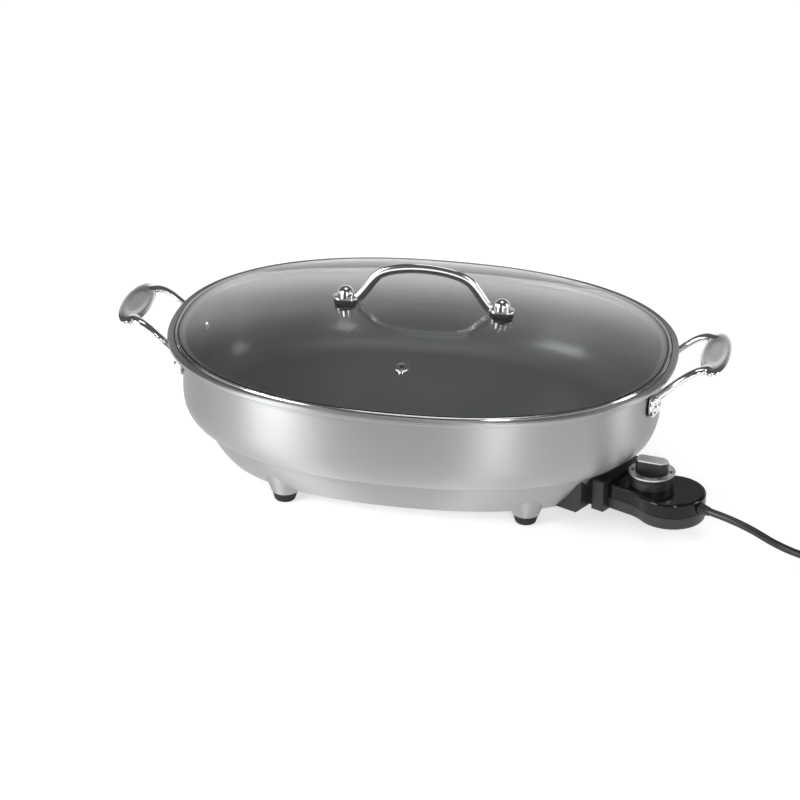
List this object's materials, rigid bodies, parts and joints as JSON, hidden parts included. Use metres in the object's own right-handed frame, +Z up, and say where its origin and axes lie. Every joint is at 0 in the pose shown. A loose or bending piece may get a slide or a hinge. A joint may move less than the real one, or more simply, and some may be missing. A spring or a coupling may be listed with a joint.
{
  "type": "electric skillet",
  "caption": "Oval stainless electric skillet with a domed glass lift-off lid, cast side handles and a plug-in temperature control with a dial and cord.",
  "frame": {"origin": "on the surface it stands on, under the middle of the oval pan", "axes": "+X from handle to handle, control at the +X end; -Y is the front; +Z up"},
  "size_m": [0.695, 0.312, 0.1782],
  "materials": {
    "pan_metal": "cast, brushed outside and grey non-stick inside",
    "brushed_stainless": "fine horizontal brushing",
    "plain_sheet": "plain sheet",
    "polished_casting": "polished cast steel",
    "polished_fittings": "mirror polish",
    "black_rubber": "matt",
    "zinc_screws": "zinc plated",
    "cast_heat_plate": "as cast",
    "element_sheath": "dull oxide",
    "terminal_steel": "plated",
    "white_ceramic": "unglazed",
    "black_moulding": "satin",
    "gloss_black_moulding": "high gloss",
    "brown_moulding": "thermoset",
    "contact_brass": "bright",
    "silver_trim": "satin",
    "black_cord": "satin sheath",
    "clear_glass": "tempered, clear",
    "ring_steel": "bright band"
  },
  "bodies": {
    "base": {"pan_body": "pan_metal", "side_handle_right": "polished_casting", "side_handle_left": "polished_casting", "handle_rivets_right": "polished_fittings", "handle_rivets_left": "polished_fittings", "base_skirt": "brushed_stainless", "rubber_foot_front_left": "black_rubber", "rubber_foot_front_right": "black_rubber", "rubber_foot_rear_left": "black_rubber", "rubber_foot_rear_right": "black_rubber", "foot_screws": "zinc_screws", "bottom_cover": "plain_sheet", "cover_screws": "zinc_screws", "heat_plate": "cast_heat_plate", "heating_element": "element_sheath", "terminal_pins": "terminal_steel", "terminal_insulators": "white_ceramic", "socket_guard": "black_moulding", "guard_screws": "zinc_screws"},
    "lid": {"lid_glass": "clear_glass", "lid_ring": "ring_steel", "lid_handle": "polished_fittings", "handle_spacers": "black_rubber", "sealing_washers": "black_rubber", "handle_bolts": "zinc_screws", "acorn_nuts": "polished_fittings", "vent_eyelet": "polished_fittings"},
    "control": {"housing_screws": "zinc_screws", "control_upper_shell": "gloss_black_moulding", "control_lower_shell": "black_moulding", "dial_collar": "gloss_black_moulding", "contact_carrier": "brown_moulding", "contact_sleeves": "contact_brass", "sensor_rod": "polished_fittings", "thermostat_bracket": "plain_sheet", "blade_insulators": "white_ceramic", "thermostat_blades": "contact_brass", "switch_contacts": "contact_brass", "strain_relief": "black_rubber", "power_cord": "black_cord", "cord_coil": "black_cord", "plug_body": "black_cord", "plug_blades": "contact_brass"},
    "knob": {"knob_grip": "black_moulding", "knob_cap": "silver_trim", "dial_ring": "silver_trim", "knob_spindle": "zinc_screws"}
  },
  "joints": [
    {"name": "lid_lift", "type": "slide", "parent": "base", "child": "lid", "axis": [0, 0, 1], "range_m": [0, 0.15]},
    {"name": "control_pull", "type": "slide", "parent": "base", "child": "control", "axis": [0.891, -0.454, 0], "range_m": [0, 0.1]},
    {"name": "knob_turn", "type": "hinge", "parent": "control", "child": "knob", "pos_m": [0.19185, -0.05979, 0.05], "axis": [0, 0, 1], "range_deg": [-140, 130]}
  ]
}
